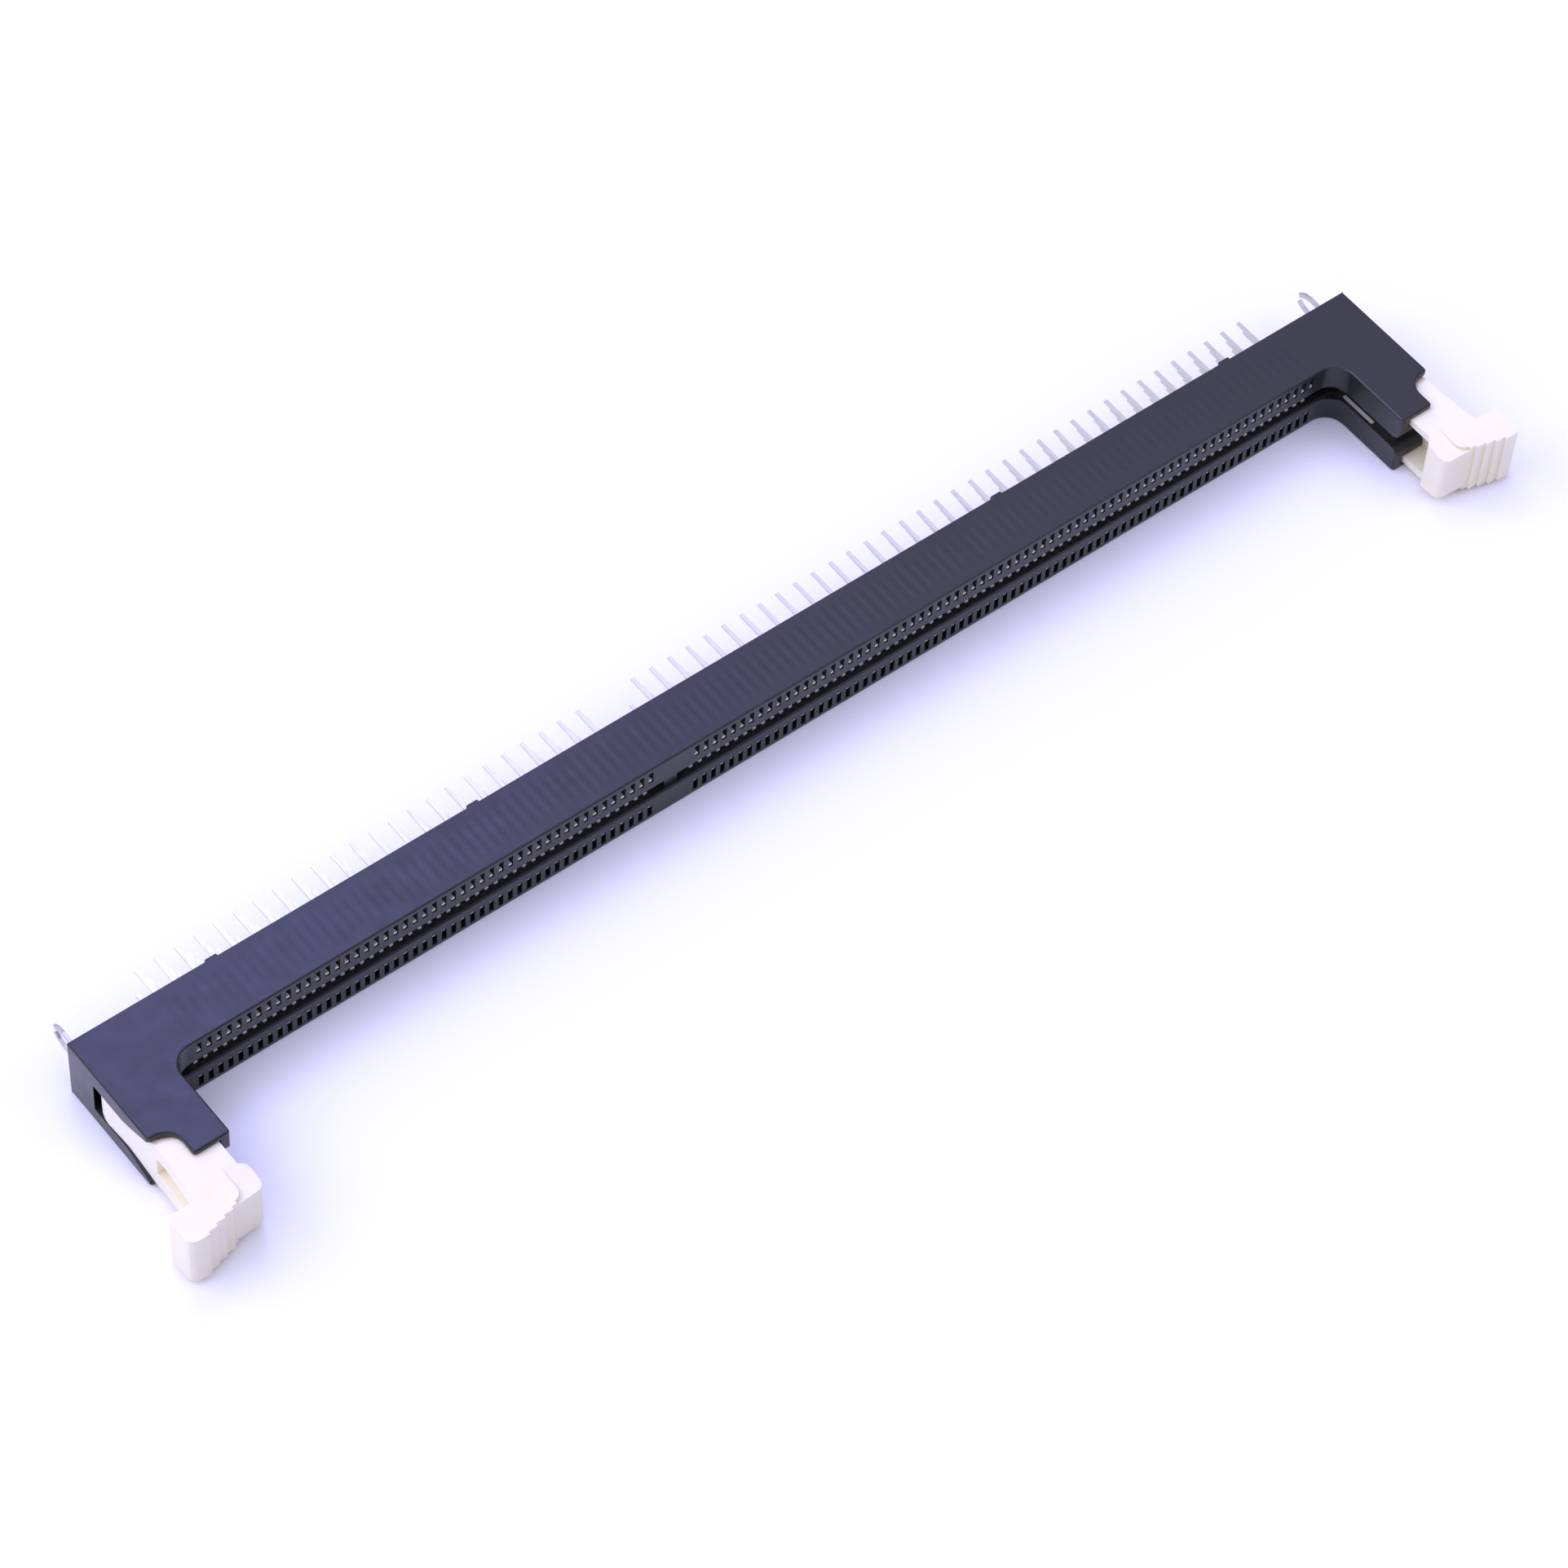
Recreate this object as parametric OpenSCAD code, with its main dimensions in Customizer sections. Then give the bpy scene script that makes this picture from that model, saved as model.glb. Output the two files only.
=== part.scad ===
// Card edge connector for a memory module: one long moulded housing with an end tower at each end,
// two swinging ejector latches, a double row of sprung contacts and two forked board locks.
// It lies on its side: X runs along the contact rows, the card leaves towards -Y,
// the solder tails point to +Y and Z goes through the thickness.

/* [Contacts] */
// Distance between neighbouring contacts of one side
contact_pitch = 1.0; // [0.95:0.05:1.2]
// Contacts on each side of the slot, in the short group before the key
short_count = 48; // [24:2:60]
// Contacts on each side of the slot, in the long group after the key
long_count = 72; // [48:2:96]
// Distance between the two contacts beside the key
key_gap = 5.0; // [4:0.1:8]
// Distance between the tail rows on the board
row_pitch = 1.9; // [1.8:0.05:2]
// Width of a contact strip
strip_width = 0.36; // [0.3:0.01:0.4]
// Thickness of a contact strip
strip_thick = 0.2; // [0.15:0.01:0.24]
// Length of a solder tail below the housing
tail_length = 3.2; // [2:0.1:4.5]
// How far the sprung bend of a contact stands out into the slot
bump_reach = 0.25; // [0.1:0.01:0.35]
// Depth of a contact's sprung bend below the mating face
bump_depth = 1.3; // [1.25:0.05:1.5]
// Length of the bend's crest
bump_length = 0.4; // [0.2:0.05:0.5]
// Height above the slot's floor at which a contact's spring starts to lean
spring_root = 0.3; // [0.2:0.05:0.5]
// How far a contact's lead-in leans out above its bend
tip_lean = 0.1; // [0.05:0.05:0.3]
// Depth of a contact's tip below the mating face, in its window
tip_depth = 0.12; // [0.05:0.01:0.3]
// Room around a contact in its cavity
contact_clear = 0.07; // [0.05:0.01:0.1]

/* [Housing] */
// Thickness of the housing, across both rows
housing_thickness = 7.2; // [6.8:0.1:9]
// Height of the mating face above the board face
body_height = 6.1; // [5.8:0.1:8]
// Height of the end towers above the board face
tower_height = 15.0; // [13:0.1:16]
// Length of an end tower along the connector
tower_width = 5.95; // [5.6:0.05:8]
// Distance from the last contact to the end tower
end_margin = 3.0; // [2.8:0.1:6]
// Height of the finger cut's ledge in an end tower
shoulder_height = 11.7; // [10.5:0.1:12.5]
// Depth of the finger cut
shoulder_inset = 2.35; // [1.5:0.05:2.6]
// Radius in the finger cut's inner corner
shoulder_fillet = 1.8; // [0.4:0.1:2.2]
// Rounding of an end tower's outer corners
tower_round = 0.3; // [0.1:0.05:0.5]
// Radius between an end tower and the mating face
corner_fillet = 2.0; // [0.5:0.1:2.5]
// Height of the standoff feet on the board face
standoff_height = 0.25; // [0.1:0.05:0.6]
// Length of a standoff foot along the connector
standoff_length = 1.2; // [0.8:0.1:2]
// Width of a standoff foot, in from the side face
standoff_width = 0.45; // [0.3:0.05:0.5]
// Distance from the last contact to the outer standoff foot
standoff_inset = 5.5; // [3:0.5:10]
// Distance between two standoff feet of one end
standoff_spacing = 27; // [10:1:40]

/* [Slot] */
// Width of the card slot
slot_width = 1.4; // [1.3:0.02:1.6]
// Height of the slot's floor above the board face
slot_floor = 2.1; // [1.9:0.1:2.6]
// Chamfer along the slot's mouth
slot_chamfer = 0.15; // [0.05:0.05:0.25]
// Width of the key that splits the slot
key_width = 1.4; // [1:0.1:2]
// How far the key's top lies below the mating face
key_drop = 0.4; // [0.2:0.1:1]
// Bar between the slot and a contact window
window_bar = 1.0; // [0.9:0.01:1.15]
// Size of a contact window across the connector
window_size = 1.4; // [1.1:0.05:1.5]
// Depth of the bar at the mating face, above the contact's slit
bridge_depth = 0.65; // [0.5:0.05:0.7]
// Thickness of the housing floor under the contact cavities
cavity_floor = 0.8; // [0.6:0.05:0.9]
// Radius of the card's lead-in at the tower tops
lead_in = 1.0; // [0.5:0.1:1.2]
// How far a guide rib stands out of the slot wall in the towers
guide_rib = 0.1; // [0.05:0.01:0.12]
// Width of a guide rib along the connector
guide_width = 0.35; // [0.2:0.05:0.45]
// Distance from a guide rib to the latch channel
guide_edge = 0.3; // [0.05:0.05:0.4]
// How far the guide ribs end below the tower tops
guide_drop = 3.8; // [2:0.1:5]
// How far the guide ribs start above the mating face
guide_lift = 1.1; // [0.5:0.1:2]

/* [Latches] */
// Distance from the housing's end face in to the latch pivot
pivot_inset = 3.15; // [3:0.05:3.4]
// Height of the latch pivot above the board face
pivot_rise = 5.6; // [5.4:0.1:5.8]
// Radius of the pivot pins moulded on the latch
pivot_radius = 1.0; // [0.8:0.05:1.2]
// Length of a pivot pin beyond the latch's side
pivot_reach = 0.8; // [0.5:0.05:0.9]
// Radial room of a pivot pin in its recess
pivot_clear = 0.08; // [0.04:0.01:0.1]
// Width of the channel that holds the latch's lower end
channel_width = 3.56; // [3.2:0.02:3.8]
// Radius of the channel's floor about the pivot
channel_radius = 3.7; // [3.55:0.05:3.8]
// Thickness left in the tower's plates beside the latch's neck
plate_skin = 0.5; // [0.4:0.02:0.8]
// Wall between the channel and the tower's inner face
inner_wall = 0.95; // [0.8:0.05:1]
// Room between a latch and the channel's sides
latch_clear = 0.1; // [0.06:0.01:0.15]
// Room between a latch and the channel's inner wall
neck_clear = 0.2; // [0.15:0.01:0.25]
// How far the slot's walls carry on into the channel at the tower's top
tongue_reach = 2.4; // [1:0.05:2.5]
// Length of those tongues down from the tower's top
tongue_length = 1.6; // [1:0.1:1.7]
// Room between the tongues and the latch
tongue_clear = 0.15; // [0.1:0.01:0.2]
// How far the latch's back lies inside the end face
back_inset = 0.05; // [0.05:0.05:0.3]
// How far the latch's back draws in beside the finger cut
waist = 0.35; // [0:0.05:0.5]
// Distance from the pivot where the latch starts to widen
flare_start = 4.1; // [4:0.1:4.5]
// Length of the widening stretch, away from the pivot
flare_length = 3.1; // [2:0.1:3.2]
// Height of the hook's underside above the pivot
hook_height = 12.1; // [11:0.1:13.5]
// How far the hook reaches in from the latch's neck
hook_reach = 0.7; // [0.4:0.05:1]
// Rounding of the hook's nose
hook_round = 0.7; // [0.4:0.05:0.9]
// Slope of the hook's underside, over its reach
hook_slope = 0.2; // [0.1:0.05:0.4]
// How far the hook's top lies below the lowest rib
nose_drop = 0.2; // [0:0.05:0.4]
// Height of the hook and of the lowest rib, above the hook's underside
head_height = 3.0; // [2.6:0.1:3.6]
// How far the thumb pad stands out behind the latch's back
pad_reach = 2.8; // [2:0.1:3.4]
// Rounding of the thumb pad's top edge
pad_round = 0.9; // [0.4:0.05:1]
// Height of the thumb pad's underside above the hook's underside
pad_under = 0.75; // [0.5:0.05:1]
// Rounding below the thumb pad, at its edge and at the latch's back
under_round = 0.45; // [0.2:0.05:0.6]
// Plain stretch of the thumb pad outside its last rib
pad_lip = 1.0; // [0.9:0.1:1.4]
// Distance between the ribs on the thumb pad
rib_pitch = 0.95; // [0.8:0.05:1.05]
// Rise from one rib to the next
rib_rise = 0.28; // [0.15:0.01:0.32]
// How much thinner the hook's top is than the thumb pad, on each side
hook_step = 0.46; // [0.2:0.02:0.6]
// Length of the thinner hook, from its nose to the crease
hook_length = 2.05; // [1.6:0.05:2.4]
// Rounding of the crease towards the ribs
crease_round = 0.9; // [0.5:0.05:1]
// Distance from the lowest rib down to where the crease turns
crease_drop = 1.2; // [1:0.05:1.5]
// How far below its underside the hook starts to get thinner
thin_drop = 0.55; // [0.3:0.05:0.9]
// Thickness of the cheeks beside the pocket in the latch's front
cheek = 0.8; // [0.6:0.05:1]
// Depth of the groove that takes the card's edge
groove_depth = 1.3; // [1:0.05:1.5]
// Room between the card's groove and the slot's walls
groove_room = 0.05; // [0.02:0.01:0.1]
// Wall left above the pivot and above the widening stretch
latch_wall = 0.3; // [0.2:0.05:0.6]
// Depth of the pocket in the latch's back
back_depth = 1.3; // [0.8:0.05:1.5]
// Width of the pocket in the latch's back
back_width = 2.3; // [1.6:0.1:2.8]
// Height of the back pocket's floor above the finger cut's ledge
back_rise = 0.6; // [0.2:0.1:2]
// Reach of the ejector foot in from the pivot
foot_reach = 2.9; // [2:0.1:3.2]
// Height of the ejector foot
foot_height = 0.8; // [0.5:0.05:0.9]
// How far the ejector foot's top lies below the slot's floor
foot_drop = 0.1; // [0.05:0.05:0.2]
// Room around the ejector foot in its pocket
foot_clear = 0.15; // [0.1:0.05:0.2]
// Thickness of the ejector foot that lifts the card
foot_thick = 1.1; // [0.9:0.05:1.15]

/* [Board locks] */
// Thickness of the board lock's sheet
lock_thick = 0.3; // [0.2:0.05:0.4]
// Width of the board lock's plate in the housing
lock_width = 2.6; // [2.4:0.1:3.4]
// Depth of the board lock's plate in the housing
lock_depth = 1.7; // [1.2:0.1:1.8]
// Distance from the housing's end face in to the board lock
lock_inset = 1.25; // [1:0.05:1.4]
// Length of the board lock's prongs below the housing
prong_length = 3.9; // [3:0.1:4.5]
// Width of a prong
prong_width = 0.45; // [0.3:0.05:0.5]
// Distance between the two prongs at their roots
prong_spacing = 1.3; // [1.1:0.05:1.6]
// How far a prong bows out from its root
prong_bow = 0.3; // [0.1:0.05:0.4]
// Room around the board lock's plate in its pocket
lock_clear = 0.05; // [0.03:0.01:0.1]

/* [Hidden] */
$fn = 48;
past = 1;
total_count = short_count + long_count;
half_span = ((total_count - 2) * contact_pitch + key_gap) / 2;
half_thick = housing_thickness / 2;
half_slot = slot_width / 2;
face_y = -standoff_height;
tower_inner = half_span + end_margin;
end_x = tower_inner + tower_width;
key_x = contact_x(short_count - 1) + key_gap / 2;
window_in = half_slot + window_bar;
window_out = window_in + window_size;
inner_row = row_pitch / 2;
outer_row = 1.5 * row_pitch;
jog_height = cavity_floor + contact_clear + strip_thick / 2;
jog_roof = jog_height + strip_thick / 2 + contact_clear;
beam_z = window_in + contact_clear + strip_thick;
shelf_height = body_height - bridge_depth - contact_clear - strip_thick / 2;
tip_z = window_in + contact_clear + strip_thick / 2;
bump_z = half_slot - bump_reach + strip_thick / 2;
passage_half = strip_thick / 2 + contact_clear;
cavity_width = strip_width + 2 * contact_clear;
pivot_x = end_x - pivot_inset;
pivot_y = face_y - pivot_rise;
channel_half = channel_width / 2;
neck_channel_half = half_thick - plate_skin;
wall_u = tower_inner + inner_wall - pivot_x;
neck_u = wall_u + neck_clear;
back_u = pivot_inset - back_inset;
latch_half = channel_half - latch_clear;
neck_half = neck_channel_half - latch_clear;
tower_top_v = tower_height - pivot_rise;
pocket_u = wall_u + tongue_reach + tongue_clear;
pocket_half = neck_half - cheek;
// Directions in which the hook's rounded nose leaves its underside and meets the ribs
nose_from = 235;
nose_to = 95;
head_v = hook_height + head_height;
hook_u = neck_u - hook_reach;
pad_u = back_u + pad_reach;
rib_count = 4;
rib_u = pad_u - pad_lip - rib_count * rib_pitch;
pad_v = head_v + rib_count * rib_rise;
foot_half = foot_thick / 2;
foot_top_v = slot_floor - foot_drop - pivot_rise;
foot_bottom_v = foot_top_v - foot_height;
foot_sweep = norm([foot_reach, foot_bottom_v]) + foot_clear;
ledge_v = shoulder_height - pivot_rise;
rows = ["upper_outer", "upper_inner", "lower_inner", "lower_outer"];
blocks = [1, 2, 3, 4, 5];
short_blocks = 2;

// Place of contact number i along the connector, counted from the short group's end
function contact_x(i) = -half_span + i * contact_pitch + (i >= short_count ? key_gap - contact_pitch : 0);

// Name of one block of contacts in one tail row
function contact_name(row, block) = str("contacts_", row, "_", block);

// Whether a row is above the slot's middle plane, and whether its tails are the outer ones
function is_upper(row) = row == "upper_outer" || row == "upper_inner";
function is_outer(row) = row == "upper_outer" || row == "lower_outer";

// The rows take every other contact: the first one has its tail in the upper outer and lower inner row
function row_contacts(row) =
    let (first = row == "upper_outer" || row == "lower_inner" ? 0 : 1)
    [for (i = [first:2:total_count - 1]) i];

// Share number k of n of a list
function share(list, k, n) = [for (j = [0:len(list) - 1]) if (floor(j * n / len(list)) == k) list[j]];

// The contacts of one block: two blocks before the key and three after it
function block_contacts(row, block) =
    let (before = [for (i = row_contacts(row)) if (i < short_count) i],
         after = [for (i = row_contacts(row)) if (i >= short_count) i])
    block <= short_blocks
        ? share(before, block - 1, short_blocks)
        : share(after, block - 1 - short_blocks, len(blocks) - short_blocks);

// Y of a height above the board face
function up(height) = face_y - height;

// Points along a round stretch of an outline
function arc(centre, radius, from, to, steps = 8) =
    [for (i = [0:steps]) let (a = from + (to - from) * i / steps) centre + radius * [cos(a), sin(a)]];

// Outline of a strip of even thickness along a path
function along(a, b) = (b - a) / norm(b - a);
function corner_side(path, i) =
    let (before = i > 0 ? along(path[i - 1], path[i]) : along(path[0], path[1]),
         after = i < len(path) - 1 ? along(path[i], path[i + 1]) : before,
         middle = before + after,
         side = [-middle[1], middle[0]] / norm(middle))
    side / (side * [-before[1], before[0]]);
function strip(path, thick) = concat(
    [for (i = [0:len(path) - 1]) path[i] + corner_side(path, i) * thick / 2],
    [for (i = [len(path) - 1:-1:0]) path[i] - corner_side(path, i) * thick / 2]);

// A section drawn in Y and Z, given a width along X
module across(width) {
    rotate([90, 0, 90])
        linear_extrude(width, center = true)
            children();
}

// A box between two corners
module box(low, high) {
    translate(low)
        cube(high - low);
}

// Places what is drawn about the right latch's pivot: outwards, upwards to the mating side, and through
module at_pivot() {
    translate([pivot_x, pivot_y, 0])
        mirror([0, 1, 0])
            children();
}

// The same thing at both ends of the connector
module both_ends() {
    children();
    mirror([1, 0, 0])
        children();
}

// Space that one contact needs in the housing, for a tail in the outer or the inner row
module cavity(outer) {
    row_z = outer ? outer_row : inner_row;
    tail = outer
        ? [[up(-past), row_z - passage_half], [up(cavity_floor), row_z - passage_half],
           [up(cavity_floor), window_in]]
        : [[up(-past), row_z - passage_half], [up(jog_roof), row_z - passage_half], [up(jog_roof), window_in]];
    slit = [[up(slot_floor), window_in], [up(slot_floor), 0], [up(body_height - bridge_depth), 0],
        [up(body_height - bridge_depth), window_in], [up(body_height + past), window_in],
        [up(body_height + past), window_out]];
    back = outer
        ? [[up(jog_roof), window_out], [up(jog_roof), row_z + passage_half], [up(-past), row_z + passage_half]]
        : [[up(cavity_floor), window_out], [up(cavity_floor), row_z + passage_half],
           [up(-past), row_z + passage_half]];
    across(cavity_width)
        polygon(concat(tail, slit, back));
}

// One stamped contact: solder tail, jog to the spring's line, leaning spring, bend into the slot,
// shelf back under the bar and tip that stands up in the window
module contact(outer) {
    row_z = outer ? outer_row : inner_row;
    crest = body_height - bump_depth;
    across(strip_width)
        polygon(strip([
            [up(-tail_length), row_z],
            [up(jog_height), row_z],
            [up(jog_height), beam_z],
            [up(slot_floor + spring_root), beam_z],
            [up(crest - bump_length / 2), bump_z],
            [up(crest + bump_length / 2), bump_z],
            [up(shelf_height), bump_z + tip_lean],
            [up(shelf_height), tip_z],
            [up(body_height - tip_depth), tip_z]], strip_thick));
}

// One block of contacts of one tail row
module contact_block(row, block) {
    color("#b9b4a8")
        for (i = block_contacts(row, block))
            translate([contact_x(i), 0, 0])
                mirror([0, 0, is_upper(row) ? 0 : 1])
                    contact(is_outer(row));
}

// The housing's outline seen from its side: body, end towers with finger cuts, rounded inner corners
module side_outline() {
    ledge_x = end_x - shoulder_inset;
    right = concat(
        [[end_x, 0]],
        arc([end_x - tower_round, shoulder_height - tower_round], tower_round, 0, 90, 4),
        arc([ledge_x + shoulder_fillet, shoulder_height + shoulder_fillet], shoulder_fillet, 270, 180, 12),
        arc([ledge_x - tower_round, tower_height - tower_round], tower_round, 0, 90, 4),
        arc([tower_inner + tower_round, tower_height - tower_round], tower_round, 90, 180, 4),
        arc([tower_inner - corner_fillet, body_height + corner_fillet], corner_fillet, 0, -90));
    left = [for (i = [len(right) - 1:-1:0]) [-right[i][0], right[i][1]]];
    polygon([for (p = concat(right, left)) [p[0], up(p[1])]]);
}

// The feet that keep the housing clear of the solder joints
module standoffs() {
    for (x = [half_span - standoff_inset, half_span - standoff_inset - standoff_spacing])
        for (z = [-half_thick, half_thick - standoff_width])
            box([x - standoff_length / 2, face_y - past / 2, z], [x + standoff_length / 2, 0, z + standoff_width]);
}

// The slot for the card, out through the tongues, with a chamfered mouth, split by the key
module card_slot() {
    key_half = key_width / 2;
    slot_end = pivot_x + pocket_u;
    difference() {
        box([-slot_end, up(tower_height + past), -half_slot], [slot_end, up(slot_floor), half_slot]);
        box([key_x - key_half, up(body_height - key_drop), -half_thick], [key_x + key_half, 0, half_thick]);
    }
    mouth = half_slot + slot_chamfer;
    across(2 * tower_inner)
        polygon([[up(body_height - slot_chamfer), -half_slot], [up(body_height), -mouth],
            [up(body_height + past), -mouth], [up(body_height + past), mouth],
            [up(body_height), mouth], [up(body_height - slot_chamfer), half_slot]]);
}

// The rounded lead-in for the card at the top of an end tower
module tower_mouth() {
    centre_y = up(tower_height - lead_in);
    half = half_slot + lead_in;
    lower = arc([centre_y, -half], lead_in, 90, 180);
    upper = arc([centre_y, half], lead_in, 180, 270);
    depth = inner_wall + tongue_reach;
    translate([tower_inner + depth / 2, 0, 0])
        across(depth + past / 2)
            polygon(concat(lower, [[up(tower_height + past), -half], [up(tower_height + past), half]], upper));
}

// The channel that the latch swings in: narrow about the pivot, wider beside the latch's neck,
// with a tongue on each side of the slot at the tower's top, which lies in the latch's front pocket
module latch_channel() {
    mouth_angle = acos(pivot_inset / channel_radius);
    wall_angle = acos(wall_u / channel_radius);
    far = channel_radius + tower_top_v + past;
    at_pivot() {
        difference() {
            intersection() {
                linear_extrude(housing_thickness, center = true)
                    polygon(concat([[wall_u, tower_top_v + past], [far, tower_top_v + past],
                        [far, -channel_radius * sin(mouth_angle)]],
                        arc([0, 0], channel_radius, -mouth_angle, -wall_angle, 16)));
                swept_flare(channel_half, neck_channel_half, flare_start - 2 * latch_clear, 2 * far);
            }
            box([wall_u - past, tower_top_v - tongue_length, tongue_clear - pocket_half],
                [wall_u + tongue_reach, tower_top_v, pocket_half - tongue_clear]);
        }
        cylinder(r = pivot_radius + pivot_clear, h = 2 * (latch_half + pivot_reach + latch_clear), center = true);
    }
}

// A body of revolution about the pivot, thin near it and thicker past the widening stretch
module swept_flare(thin, thick, start, far) {
    wide = start + flare_length;
    rotate_extrude()
        polygon([[0, -thin], [start, -thin], [wide, -thick], [far, -thick],
            [far, thick], [wide, thick], [start, thin], [0, thin]]);
}

// The pocket in the slot's floor where the ejector foot lies and swings
module foot_pocket() {
    box([pivot_x - foot_sweep, up(slot_floor + past), -half_slot],
        [pivot_x + pivot_radius, up(pivot_rise + foot_bottom_v - foot_clear), half_slot]);
}

// The pocket that a board lock's plate is pressed into
module lock_pocket() {
    half_width = lock_width / 2 + lock_clear;
    half_gap = lock_thick / 2 + lock_clear;
    lock_x = end_x - lock_inset;
    box([lock_x - half_gap, up(lock_depth + lock_clear), -half_width],
        [lock_x + half_gap, up(-past), half_width]);
}

// Thin ribs on the slot's walls in a tower, which centre the card
module guide_ribs() {
    far_x = tower_inner + inner_wall - guide_edge;
    for (z = [-half_slot - guide_rib, half_slot - guide_rib])
        box([far_x - guide_width, up(tower_height - guide_drop), z],
            [far_x, up(body_height + guide_lift), z + 2 * guide_rib]);
}

// The moulded housing
module housing() {
    color("#24242c")
        union() {
            difference() {
                union() {
                    linear_extrude(housing_thickness, center = true)
                        side_outline();
                    both_ends()
                        standoffs();
                }
                card_slot();
                both_ends() {
                    tower_mouth();
                    latch_channel();
                    foot_pocket();
                    lock_pocket();
                }
                for (row = rows)
                    for (i = row_contacts(row))
                        translate([contact_x(i), 0, 0])
                            mirror([0, 0, is_upper(row) ? 0 : 1])
                                cavity(is_outer(row));
            }
            both_ends()
                guide_ribs();
        }
}

// The latch's outline: round lower end, straight neck, hook on the inner side, ribbed thumb pad behind
module latch_outline() {
    under_v = hook_height + pad_under;
    ribs = [for (k = [0:rib_count - 1]) each [
        [rib_u + k * rib_pitch, head_v + k * rib_rise],
        [rib_u + k * rib_pitch, head_v + (k + 1) * rib_rise]]];
    polygon(concat(
        arc([0, 0], back_u, 0, -90),
        arc([0, 0], -neck_u, -90, -180),
        [[neck_u, hook_height - hook_slope]],
        arc([hook_u + hook_round, hook_height + hook_round], hook_round, nose_from, 180, 4),
        arc([hook_u + hook_round, head_v - nose_drop - hook_round], hook_round, 180, nose_to, 5),
        ribs,
        arc([pad_u - pad_round, pad_v - pad_round], pad_round, 90, 0, 6),
        arc([pad_u - under_round, under_v + under_round], under_round, 0, -90, 4),
        arc([back_u + under_round, under_v - under_round], under_round, 90, 180, 4),
        [[back_u - waist, ledge_v + shoulder_fillet]]));
}

// The slope on each side of the head, where the hook gets thinner than the thumb pad towards its top
module hook_slopes() {
    crease_u = hook_u + hook_length;
    crease_v = head_v - crease_drop;
    start_v = hook_height - thin_drop;
    edge_u = crease_u + crease_round;
    for (side = [0, 1])
        mirror([0, 0, side])
            intersection() {
                linear_extrude(neck_half + past)
                    polygon(concat(
                        [[hook_u - past, start_v], [crease_u, start_v]],
                        arc([edge_u, crease_v], crease_round, 180, nose_to),
                        [[edge_u, head_v + past], [hook_u - past, head_v + past]]));
                translate([0, start_v, neck_half])
                    rotate([-atan(hook_step / (head_v - start_v)), 0, 0])
                        box([hook_u - 2 * past, -past, 0], [edge_u + past, head_v, housing_thickness]);
            }
}

// The right latch about its pivot
module latch() {
    card_half = half_slot + groove_room;
    back_half = back_width / 2;
    neck_v = flare_start + flare_length + latch_wall;
    top_v = hook_height - hook_slope;
    difference() {
        union() {
            intersection() {
                linear_extrude(2 * neck_half, center = true)
                    latch_outline();
                swept_flare(latch_half, neck_half, flare_start, 2 * pad_v);
            }
            cylinder(r = pivot_radius, h = 2 * (latch_half + pivot_reach), center = true);
            linear_extrude(2 * foot_half, center = true)
                polygon([[pivot_radius, -pivot_radius], [-pivot_radius, -pivot_radius], [neck_u, foot_top_v],
                    [-foot_reach, foot_top_v], [-foot_reach, foot_bottom_v], [0, foot_bottom_v],
                    [pivot_radius, -back_u + foot_clear]]);
        }
        hook_slopes();
        box([hook_u - past, pivot_radius + latch_wall, -card_half], [neck_u + groove_depth, top_v, card_half]);
        box([hook_u - past, neck_v, -pocket_half], [pocket_u, top_v, pocket_half]);
        box([back_u - back_depth, ledge_v + back_rise, -back_half], [back_u + past, top_v, back_half]);
    }
}

// The two latches, closed
module latch_right() {
    color("#efe9dc")
        at_pivot()
            latch();
}

module latch_left() {
    color("#efe9dc")
        mirror([1, 0, 0])
            at_pivot()
                latch();
}

// One bowed prong of a board lock, from its root in the plate to its tip below the board
module prong() {
    root_z = prong_spacing / 2;
    // Where the prong bends: share of its length, share of its bow
    bends = [[0, 0], [0.45, 0.8], [0.65, 1], [0.85, 0.4], [1, -1]];
    across(lock_thick)
        polygon(strip(concat([[up(lock_depth / 2), root_z]],
            [for (b = bends) [up(-b[0] * prong_length), root_z + b[1] * prong_bow]]), prong_width));
}

// A forked board lock stamped from sheet: a plate in the housing and two prongs
module board_lock() {
    translate([end_x - lock_inset, 0, 0])
        union() {
            box([-lock_thick / 2, up(lock_depth), -lock_width / 2], [lock_thick / 2, up(0), lock_width / 2]);
            prong();
            mirror([0, 0, 1])
                prong();
        }
}

module board_lock_right() {
    color("#c9c6bd")
        board_lock();
}

module board_lock_left() {
    color("#c9c6bd")
        mirror([1, 0, 0])
            board_lock();
}

housing();
latch_left();
latch_right();
board_lock_left();
board_lock_right();
for (row = rows)
    for (block = blocks)
        contact_block(row, block);
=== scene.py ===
import math

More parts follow.
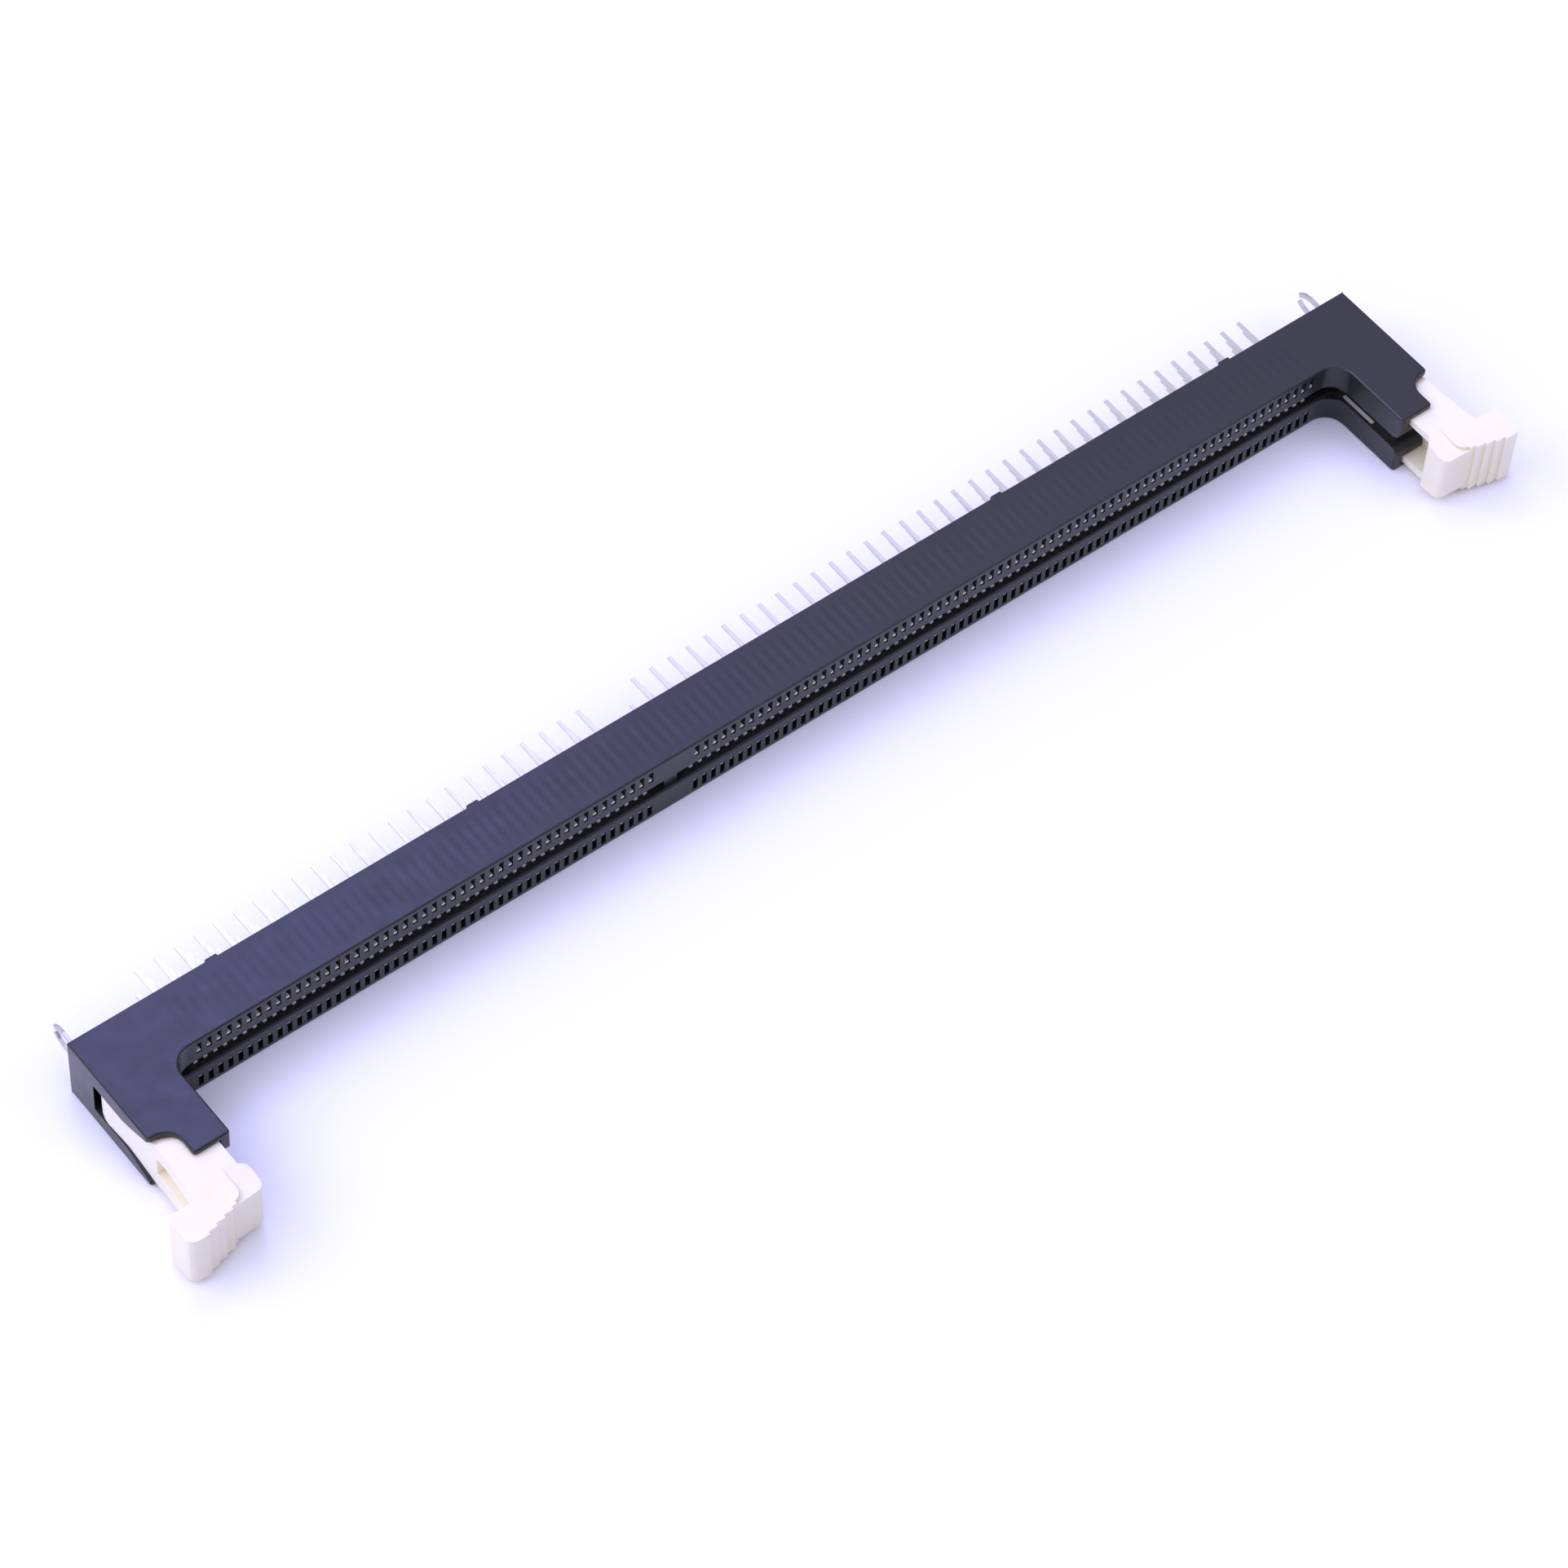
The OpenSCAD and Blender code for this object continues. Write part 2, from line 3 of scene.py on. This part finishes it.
import bpy
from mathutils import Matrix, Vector


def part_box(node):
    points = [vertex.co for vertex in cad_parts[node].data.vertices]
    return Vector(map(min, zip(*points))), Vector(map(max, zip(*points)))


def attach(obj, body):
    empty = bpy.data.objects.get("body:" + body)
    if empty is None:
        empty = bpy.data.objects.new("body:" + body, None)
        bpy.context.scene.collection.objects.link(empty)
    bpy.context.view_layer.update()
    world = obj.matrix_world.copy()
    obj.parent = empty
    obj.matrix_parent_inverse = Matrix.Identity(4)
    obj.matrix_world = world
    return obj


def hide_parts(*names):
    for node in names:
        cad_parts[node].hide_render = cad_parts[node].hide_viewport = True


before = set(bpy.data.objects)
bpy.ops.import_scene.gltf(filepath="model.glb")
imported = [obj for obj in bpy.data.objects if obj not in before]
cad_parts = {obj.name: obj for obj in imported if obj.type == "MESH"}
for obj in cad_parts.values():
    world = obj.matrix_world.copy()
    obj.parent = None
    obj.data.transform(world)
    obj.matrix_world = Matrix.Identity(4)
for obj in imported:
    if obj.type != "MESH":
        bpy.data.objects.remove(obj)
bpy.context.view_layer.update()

# Housing: one long moulding of black glass-filled plastic, with a tower at each end and a row of
# windows on each side of the slot. The mould leaves its outer edges slightly round and its sides with
# a satin grain, flow marks and faint sink marks, and handling leaves some dust and rubbed edges.
housing_low, housing_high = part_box("housing")
half_thickness = housing_high.z
mating_face_y = -0.00635
board_band_y = -0.0005
board_edge_round = 0.00010
board_edge_steps = 2
mating_edge_round = 0.00022
mating_edge_steps = 3
window_edge_round = 0.00004
window_edge_steps = 1
near = 0.00001
merge_distance = 0.000001
flat_angle = math.radians(0.5)
sharp_angle = math.radians(30)
arc_angle = math.radians(20)
broad_face_weight = 100

black_deep = (0.012, 0.012, 0.013)
black_pale = (0.018, 0.018, 0.019)
black_rubbed = (0.024, 0.024, 0.026)
black_roughness = (0.27, 0.36)
black_grain_size = 0.00016
black_grain_height = 0.000006
black_grain_strength = 0.3
grain_detail = 2
noise_low = 0.3
noise_high = 0.7
flow_mark_size = 0.006
flow_mark_stretch = (6, 1, 1)
gloss_patch_size = 0.002
rub_width = 0.00010
rub_samples = 4
rub_starts_at = 0.98
rub_full_at = 0.75
# A box on the guide ribs inside each tower's slot, and the pale colour of the painted light put there.
painted_light_rib_low = (0.06478, 0.00740, 0.00055)
painted_light_rib_high = (0.06517, 0.01150, 0.00068)
painted_light_rib_pale = (0.50, 0.48, 0.42)
dust_grey = (0.16, 0.16, 0.17)
dust_spacing = 0.004
dust_radius = 0.00009
dust_share = 0.16
speck_core = 0.6
contact_pitch = 0.001
sink_depth = 0.000008
sink_height = 0.5
sink_middle_y = -0.0033
sink_half_length = 0.0026
sink_core = 0.4
sink_last_x = 0.06225
sink_row_fade = contact_pitch / 4


def merged_copy(node, name):
    """A copy of a node's mesh, with its loose triangles joined into whole faces."""
    bpy.ops.object.select_all(action="DESELECT")
    piece = bpy.data.objects.new(name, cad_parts[node].data.copy())
    bpy.context.scene.collection.objects.link(piece)
    bpy.context.view_layer.objects.active = piece
    piece.select_set(True)
    bpy.ops.object.mode_set(mode="EDIT")
    bpy.ops.mesh.select_all(action="SELECT")
    bpy.ops.mesh.remove_doubles(threshold=merge_distance)
    bpy.ops.mesh.dissolve_limited(angle_limit=flat_angle)
    bpy.ops.object.mode_set(mode="OBJECT")
    return piece


def round_edges(piece, wanted, radius, segments):
    """Bevels the sharp edges that a test picks by the places of their two ends."""
    bpy.context.view_layer.objects.active = piece
    bpy.ops.object.mode_set(mode="EDIT")
    bpy.ops.mesh.select_mode(type="EDGE")
    bpy.ops.mesh.select_all(action="DESELECT")
    bpy.ops.mesh.edges_select_sharp(sharpness=sharp_angle)
    bpy.ops.object.mode_set(mode="OBJECT")
    places = piece.data.vertices
    picked = [edge.select and wanted(*(places[i].co for i in edge.vertices)) for edge in piece.data.edges]
    for group in (piece.data.vertices, piece.data.polygons):
        group.foreach_set("select", [False] * len(group))
    piece.data.edges.foreach_set("select", picked)
    bpy.ops.object.mode_set(mode="EDIT")
    bpy.ops.mesh.bevel(offset=radius, segments=segments, affect="EDGES", clamp_overlap=True)
    bpy.ops.object.mode_set(mode="OBJECT")


def shade_evenly(piece, angle):
    """Smooth shading up to an angle, with the broad faces kept flat up to their rounded edges."""
    bpy.ops.object.select_all(action="DESELECT")
    bpy.context.view_layer.objects.active = piece
    piece.select_set(True)
    bpy.ops.object.shade_smooth_by_angle(angle=angle)
    bpy.ops.object.modifier_add(type="WEIGHTED_NORMAL")
    weighted = piece.modifiers[-1]
    weighted.weight = broad_face_weight
    weighted.keep_sharp = True
    bpy.ops.object.modifier_apply(modifier=weighted.name)


def give_finish(piece, material):
    """Gives a new piece its one material."""
    piece.data.materials.clear()
    piece.data.materials.append(material)


def on_broad_side(point):
    """Whether a point lies on one of the housing's two broad sides."""
    return abs(abs(point.z) - half_thickness) < near


def runs_across(a, b):
    """Whether an edge runs straight from one broad side to the other."""
    return abs(a.x - b.x) < near and abs(a.y - b.y) < near


def around_side(a, b):
    """Edges around the broad sides beyond the board face's band: the mating side and the towers."""
    at_side = on_broad_side(a) and on_broad_side(b)
    return at_side and max(a.y, b.y) < housing_high.y and min(a.y, b.y) < board_band_y


def at_board_face(a, b):
    """The broad sides' edges at the board face and its feet, and the corner edges between the sides."""
    at_side = [on_broad_side(a), on_broad_side(b)]
    in_band = min(a.y, b.y) > board_band_y
    return (all(at_side) and in_band) or (any(at_side) and runs_across(a, b))


def at_window(a, b):
    """Edges of the contact windows in the mating face."""
    return all(abs(p.y - mating_face_y) < near and abs(p.z) < half_thickness - near for p in (a, b))


def start_material(name):
    """A new material, with its node tree and its shader."""
    material = bpy.data.materials.new(name)
    material.use_nodes = True
    return material, material.node_tree, material.node_tree.nodes["Principled BSDF"]


def place_on_piece(tree, stretch=(1, 1, 1)):
    """Object coordinates, drawn out along the axes by the given amounts."""
    coordinates = tree.nodes.new("ShaderNodeTexCoord")
    mapping = tree.nodes.new("ShaderNodeMapping")
    mapping.inputs["Scale"].default_value = [1 / amount for amount in stretch]
    tree.links.new(coordinates.outputs["Object"], mapping.inputs["Vector"])
    return mapping.outputs["Vector"]


def axes_of_piece(tree):
    """Object coordinates, taken apart into X, Y and Z."""
    coordinates = tree.nodes.new("ShaderNodeTexCoord")
    axes = tree.nodes.new("ShaderNodeSeparateXYZ")
    tree.links.new(coordinates.outputs["Object"], axes.inputs["Vector"])
    return axes.outputs


def mottle(tree, size, stretch=(1, 1, 1), detail=3):
    """Soft noise, with blobs of about the given size in metres."""
    noise = tree.nodes.new("ShaderNodeTexNoise")
    noise.inputs["Scale"].default_value = 1 / size
    noise.inputs["Detail"].default_value = detail
    tree.links.new(place_on_piece(tree, stretch), noise.inputs["Vector"])
    return noise.outputs["Fac"]


def between(tree, value, start, end, low, high):
    """Maps a stretch of a value's range onto another range."""
    spread = tree.nodes.new("ShaderNodeMapRange")
    for socket, number in zip(("From Min", "From Max", "To Min", "To Max"), (start, end, low, high)):
        spread.inputs[socket].default_value = number
    tree.links.new(value, spread.inputs["Value"])
    return spread.outputs["Result"]


def spread_noise(tree, noise, low=0, high=1):
    """Maps the middle of a noise's range, where most of it lies, onto another range."""
    return between(tree, noise, noise_low, noise_high, low, high)


def blend_colours(tree, share, first, second):
    """Mixes two colours, each fixed or from another node, by a share."""
    mix = tree.nodes.new("ShaderNodeMix")
    mix.data_type = "RGBA"
    tree.links.new(share, mix.inputs["Factor"])
    for socket, colour in zip(("A", "B"), (first, second)):
        into = next(i for i in mix.inputs if i.name == socket and i.type == "RGBA")
        if isinstance(colour, tuple):
            into.default_value = (*colour, 1)
        else:
            tree.links.new(colour, into)
    return next(o for o in mix.outputs if o.type == "RGBA")


def calculate(tree, operation, *values):
    """One step of arithmetic on values, each a number or from another node."""
    step = tree.nodes.new("ShaderNodeMath")
    step.operation = operation
    for socket, value in zip(step.inputs, values):
        if isinstance(value, (int, float)):
            socket.default_value = value
        else:
            tree.links.new(value, socket)
    return step.outputs["Value"]


def raise_grain(tree, normal, value, height, strength=1):
    """Gives the surface a fine relief from a value, and returns where a relief under it goes in."""
    bump = tree.nodes.new("ShaderNodeBump")
    bump.inputs["Distance"].default_value = height
    bump.inputs["Strength"].default_value = strength
    tree.links.new(value, bump.inputs["Height"])
    tree.links.new(bump.outputs["Normal"], normal)
    return bump.inputs["Normal"]


def sink_marks(tree):
    """Shallow troughs across the sides, one over each contact cavity, where the plastic shrank."""
    axes = axes_of_piece(tree)
    wave = calculate(tree, "COSINE", calculate(tree, "MULTIPLY", axes["X"], 2 * math.pi / contact_pitch))
    off_middle = calculate(tree, "ABSOLUTE", calculate(tree, "SUBTRACT", axes["Y"], sink_middle_y))
    off_centre = calculate(tree, "ABSOLUTE", axes["X"])
    fade = between(tree, off_middle, sink_half_length, sink_core * sink_half_length, 0, sink_height)
    in_row = between(tree, off_centre, sink_last_x, sink_last_x - sink_row_fade, 0, 1)
    return calculate(tree, "MULTIPLY", wave, calculate(tree, "MULTIPLY", fade, in_row))


def specks(tree, spacing, radius, share):
    """Sparse round specks: one at most in each cell of the given spacing, in a share of the cells."""
    cells = tree.nodes.new("ShaderNodeTexVoronoi")
    cells.inputs["Scale"].default_value = 1 / spacing
    tree.links.new(place_on_piece(tree), cells.inputs["Vector"])
    dot = between(tree, cells.outputs["Distance"], radius / spacing, speck_core * radius / spacing, 0, 1)
    chance = tree.nodes.new("ShaderNodeSeparateColor")
    tree.links.new(cells.outputs["Color"], chance.inputs["Color"])
    chosen = calculate(tree, "LESS_THAN", chance.outputs["Red"], share)
    return calculate(tree, "MULTIPLY", dot, chosen)


def rubbed_edges(tree, width):
    """How near a point is to an outer edge: the rounded normal leaves the true one there."""
    soft = tree.nodes.new("ShaderNodeBevel")
    soft.samples = rub_samples
    soft.inputs["Radius"].default_value = width
    surface = tree.nodes.new("ShaderNodeNewGeometry")
    along = tree.nodes.new("ShaderNodeVectorMath")
    along.operation = "DOT_PRODUCT"
    tree.links.new(soft.outputs["Normal"], along.inputs[0])
    tree.links.new(surface.outputs["Normal"], along.inputs[1])
    return between(tree, along.outputs["Value"], rub_starts_at, rub_full_at, 0, 1)


def inside_box(tree, low, high):
    """One inside a box and zero outside it, for both ends and both sides of the connector alike."""
    axes = axes_of_piece(tree)
    share = 1
    for axis, start, end in zip("XYZ", low, high):
        offset = calculate(tree, "ABSOLUTE", axes[axis])
        inside = calculate(tree, "COMPARE", offset, (start + end) / 2, (end - start) / 2)
        share = calculate(tree, "MULTIPLY", inside, share)
    return share


def satin_black():
    """Black moulded plastic: flow marks along the moulding, grain, dust, rubbed edges, and a painted pale
    light on the guide ribs.
    """
    material, tree, shader = start_material("housing_black_satin")
    flow = spread_noise(tree, mottle(tree, flow_mark_size, flow_mark_stretch))
    body = blend_colours(tree, flow, black_deep, black_pale)
    rubbed = blend_colours(tree, rubbed_edges(tree, rub_width), body, black_rubbed)
    # Painted light: a pale patch on the guide ribs inside each tower's slot, standing in for light seen in
    # the slot.
    rib_light_painted = blend_colours(tree, inside_box(tree, painted_light_rib_low, painted_light_rib_high), rubbed, painted_light_rib_pale)
    dusty = blend_colours(tree, specks(tree, dust_spacing, dust_radius, dust_share), rib_light_painted, dust_grey)
    tree.links.new(dusty, shader.inputs["Base Color"])
    roughness = spread_noise(tree, mottle(tree, gloss_patch_size), *black_roughness)
    tree.links.new(roughness, shader.inputs["Roughness"])
    grain = mottle(tree, black_grain_size, detail=grain_detail)
    under_grain = raise_grain(tree, shader.inputs["Normal"], grain, black_grain_height, black_grain_strength)
    raise_grain(tree, under_grain, sink_marks(tree), sink_depth)
    return material


housing = merged_copy("housing", "housing_moulding")
round_edges(housing, at_board_face, board_edge_round, board_edge_steps)
round_edges(housing, around_side, mating_edge_round, mating_edge_steps)
round_edges(housing, at_window, window_edge_round, window_edge_steps)
shade_evenly(housing, arc_angle)
give_finish(housing, satin_black())
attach(housing, "socket")
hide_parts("housing")

# Contacts: strips stamped from copper alloy and pressed into the housing from the board side.
# The tails carry a tin finish with drawn streaks, and the sprung bend that meets the card a thin,
# pale gold one.
tail_y = 0.0
spring_y = -0.0035
tin_deep = (0.60, 0.58, 0.48)
tin_bright = (0.70, 0.68, 0.57)
tin_metallic = 1
gold_deep = (0.95, 0.92, 0.80)
gold_bright = (0.99, 0.97, 0.90)
gold_metallic = 0.2
streak_size = 0.0002
streak_stretch = (1, 8, 1)
streak_height = 0.000004
streak_strength = 0.3
contact_roughness = (0.26, 0.42)


def tinned_contact():
    """Tin with drawn streaks, turning to pale and brighter gold along the spring."""
    material, tree, shader = start_material("contact_tin_and_gold")
    towards_card = between(tree, axes_of_piece(tree)["Y"], tail_y, spring_y, 0, 1)
    streaks = mottle(tree, streak_size, streak_stretch)
    tin = blend_colours(tree, streaks, tin_deep, tin_bright)
    gold = blend_colours(tree, streaks, gold_deep, gold_bright)
    tree.links.new(blend_colours(tree, towards_card, tin, gold), shader.inputs["Base Color"])
    metallic = between(tree, towards_card, 0, 1, tin_metallic, gold_metallic)
    tree.links.new(metallic, shader.inputs["Metallic"])
    tree.links.new(spread_noise(tree, streaks, *contact_roughness), shader.inputs["Roughness"])
    raise_grain(tree, shader.inputs["Normal"], streaks, streak_height, streak_strength)
    return material


contact_finish = tinned_contact()
for name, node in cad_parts.items():
    if name.startswith("contacts_"):
        node.material_slots[0].material = contact_finish

# Board locks: forks stamped from copper alloy sheet and pressed into the housing's ends.
# Their two bowed prongs snap into holes in the board, and they have a matte tin finish.
lock_deep = (0.54, 0.52, 0.45)
lock_pale = (0.68, 0.66, 0.58)
lock_patch_size = 0.0008
lock_roughness = (0.36, 0.5)
lock_grain_size = 0.00012
lock_grain_height = 0.000005
lock_grain_strength = 0.4


def matte_tin():
    """Matte tin with a fine mottled grain and darker patches."""
    material, tree, shader = start_material("board_lock_matte_tin")
    patches = spread_noise(tree, mottle(tree, lock_patch_size))
    tree.links.new(blend_colours(tree, patches, lock_deep, lock_pale), shader.inputs["Base Color"])
    shader.inputs["Metallic"].default_value = 1
    tree.links.new(between(tree, patches, 0, 1, *lock_roughness), shader.inputs["Roughness"])
    grain = mottle(tree, lock_grain_size)
    raise_grain(tree, shader.inputs["Normal"], grain, lock_grain_height, lock_grain_strength)
    return material


lock_finish = matte_tin()
for name in ("board_lock_left", "board_lock_right"):
    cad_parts[name].material_slots[0].material = lock_finish

# Latches: two levers moulded from ivory plastic, with a hook that holds the module, a ribbed thumb
# pad and a foot that lifts the module out. Each turns on two pins moulded on its sides, which
# snap into the tower, and its outer edges are rounded for the thumb.
head_edge_round = 0.00022
head_edge_steps = 3
rib_edge_round = 0.00006
rib_edge_steps = 2
tower_top_y = housing_low.y
latch_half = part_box("latch_right")[1].z
rib_low_y = -0.02090

ivory_deep = (0.90, 0.84, 0.63)
ivory_pale = (0.94, 0.89, 0.70)
# The warm ivory of the painted shade, for pockets, rib corners and under the tower's edges.
ivory_shaded = (0.97, 0.82, 0.57)
ivory_cloud_size = 0.004
ivory_gloss_patch_size = 0.0015
ivory_roughness = (0.40, 0.52)
ivory_grain_size = 0.00018
ivory_grain_height = 0.00001
ivory_grain_strength = 0.3
shade_reach = 0.0015
shade_samples = 8
shade_full_at = 0.15
shade_ends_at = 0.65
light_goes_in = 0.25
light_depth = (0.0012, 0.0009, 0.0006)
grime_brown = (0.50, 0.45, 0.34)
grime_spacing = 0.003
grime_radius = 0.00006
grime_share = 0.1


def on_head(a, b):
    """Long edges of the parts that stand out of the tower, apart from the ribs and the short steps."""
    outside = all(p.y < tower_top_y for p in (a, b))
    at_side = all(abs(p.z) > latch_half - near for p in (a, b))
    among_ribs = all(p.y < rib_low_y for p in (a, b))
    return outside and at_side and not among_ribs


def on_rib(a, b):
    """Edges of the ribs that run across the thumb pad."""
    return runs_across(a, b) and a.y < rib_low_y


def openness(tree, reach):
    """How open a point is to what is around it within a reach: low in pockets and under edges."""
    around = tree.nodes.new("ShaderNodeAmbientOcclusion")
    around.samples = shade_samples
    around.inputs["Distance"].default_value = reach
    return around.outputs["AO"]


def ivory():
    """Ivory moulded plastic that lets a little light in, with a grain, faint clouds and a painted warm shade
    in pockets and under edges.
    """
    material, tree, shader = start_material("latch_ivory_satin")
    clouds = spread_noise(tree, mottle(tree, ivory_cloud_size))
    body = blend_colours(tree, clouds, ivory_deep, ivory_pale)
    # Painted shade: a warm ivory is painted where little is open around the surface, in pockets, rib corners
    # and under the tower's edges.
    open_share = between(tree, openness(tree, shade_reach), shade_full_at, shade_ends_at, 0, 1)
    shaded = blend_colours(tree, open_share, ivory_shaded, body)
    dusty = blend_colours(tree, specks(tree, grime_spacing, grime_radius, grime_share), shaded, grime_brown)
    tree.links.new(dusty, shader.inputs["Base Color"])
    shader.inputs["Subsurface Weight"].default_value = light_goes_in
    shader.inputs["Subsurface Radius"].default_value = light_depth
    shader.inputs["Subsurface Scale"].default_value = 1
    roughness = spread_noise(tree, mottle(tree, ivory_gloss_patch_size), *ivory_roughness)
    tree.links.new(roughness, shader.inputs["Roughness"])
    grain = mottle(tree, ivory_grain_size, detail=grain_detail)
    raise_grain(tree, shader.inputs["Normal"], grain, ivory_grain_height, ivory_grain_strength)
    return material


latch_finish = ivory()
for side in ("left", "right"):
    latch = merged_copy(f"latch_{side}", f"ejector_latch_{side}")
    round_edges(latch, on_head, head_edge_round, head_edge_steps)
    round_edges(latch, on_rib, rib_edge_round, rib_edge_steps)
    shade_evenly(latch, sharp_angle)
    give_finish(latch, latch_finish)
    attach(latch, f"latch_{side}")
    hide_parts(f"latch_{side}")

# Floor: a smooth white table top that the connector lies on, with a weak soft reflection.
# Its white varies very slightly from place to place.
floor_size = 6.0
floor_white = (0.95, 0.95, 0.95)
floor_bright = (0.96, 0.96, 0.96)
floor_cloud_size = 0.2
floor_roughness = 0.32
floor_specular = 0.35
bpy.ops.object.select_all(action="DESELECT")
bpy.ops.mesh.primitive_plane_add(size=floor_size, location=(0, 0, housing_low.z))
floor = bpy.context.object
floor.name = "table_top"
bpy.ops.object.transform_apply(location=True)
floor_finish, floor_tree, floor_shader = start_material("table_white")
floor_clouds = spread_noise(floor_tree, mottle(floor_tree, floor_cloud_size))
floor_colour = blend_colours(floor_tree, floor_clouds, floor_white, floor_bright)
floor_tree.links.new(floor_colour, floor_shader.inputs["Base Color"])
floor_shader.inputs["Roughness"].default_value = floor_roughness
floor_shader.inputs["Specular IOR Level"].default_value = floor_specular
give_finish(floor, floor_finish)

# Light: a pale blue room that is bright overhead, towards the back left, and dim in front, one large
# soft box behind the connector, above its left end, a small one in front of its right end, and a
# blue panel whose reflection shows at the left end of its side.
pale_blue = (0.70, 0.70, 1.0)
pale_violet = (0.74, 0.72, 1.0)
clear_blue = (0.30, 0.30, 1.0)
room_bright_side = (-0.30, 0.26, 0.92)
room_dim_at = 0.2
room_dim_strength = 0.29
room_bright_at = 0.85
room_bright_strength = 1.64


def soft_box(name, place, aim, width, height, power, colour):
    """A rectangular area light that faces a point."""
    bpy.ops.object.light_add(type="AREA", location=place)
    lamp = bpy.context.object
    lamp.name = name
    lamp.data.shape = "RECTANGLE"
    lamp.data.size = width
    lamp.data.size_y = height
    lamp.data.energy = power
    lamp.data.color = colour
    lamp.rotation_euler = (lamp.location - Vector(aim)).to_track_quat("Z", "Y").to_euler()


soft_box("key_light", place=(-0.58, 0.34, 0.60), aim=(0, 0, 0),
         width=0.8, height=0.5, power=3.0, colour=pale_blue)
soft_box("front_light", place=(0.24, -0.24, 0.30), aim=(0.07, -0.01, 0),
         width=0.25, height=0.25, power=0.36, colour=pale_violet)
soft_box("blue_panel", place=(0.17, 0.47, 0.84), aim=(-0.08, 0, 0),
         width=0.3, height=0.4, power=1.7, colour=clear_blue)
room = bpy.data.worlds.new("pale_room")
room.use_nodes = True
room_tree = room.node_tree
room_sky = room_tree.nodes["Background"]
room_place = room_tree.nodes.new("ShaderNodeTexCoord")
room_towards = room_tree.nodes.new("ShaderNodeVectorMath")
room_towards.operation = "DOT_PRODUCT"
room_towards.inputs[1].default_value = Vector(room_bright_side).normalized()
room_tree.links.new(room_place.outputs["Generated"], room_towards.inputs[0])
room_glow = between(room_tree, room_towards.outputs["Value"], room_dim_at, room_bright_at,
                    room_dim_strength, room_bright_strength)
room_tree.links.new(room_glow, room_sky.inputs["Strength"])
room_sky.inputs["Color"].default_value = (*pale_blue, 1)
bpy.context.scene.world = room
bpy.context.scene.view_settings.view_transform = "Standard"

# Camera: the photograph's own view, from the front left and well above, with a long lens.
# Its place and turn are solved from the two rows of contact windows.
camera_place = (-0.1967206, -0.2272267, 0.388319)
camera_turn_deg = (36.514, -2.703, -38.164)
camera_turn = [math.radians(angle) for angle in camera_turn_deg]
camera_lens_mm = 128.24
camera_sensor_mm = 36.0
camera_nearest = 0.01
camera_furthest = 20.0
bpy.ops.object.camera_add(location=camera_place, rotation=camera_turn)
camera = bpy.context.object
camera.data.lens = camera_lens_mm
camera.data.sensor_width = camera_sensor_mm
camera.data.clip_start = camera_nearest
camera.data.clip_end = camera_furthest
bpy.context.scene.camera = camera
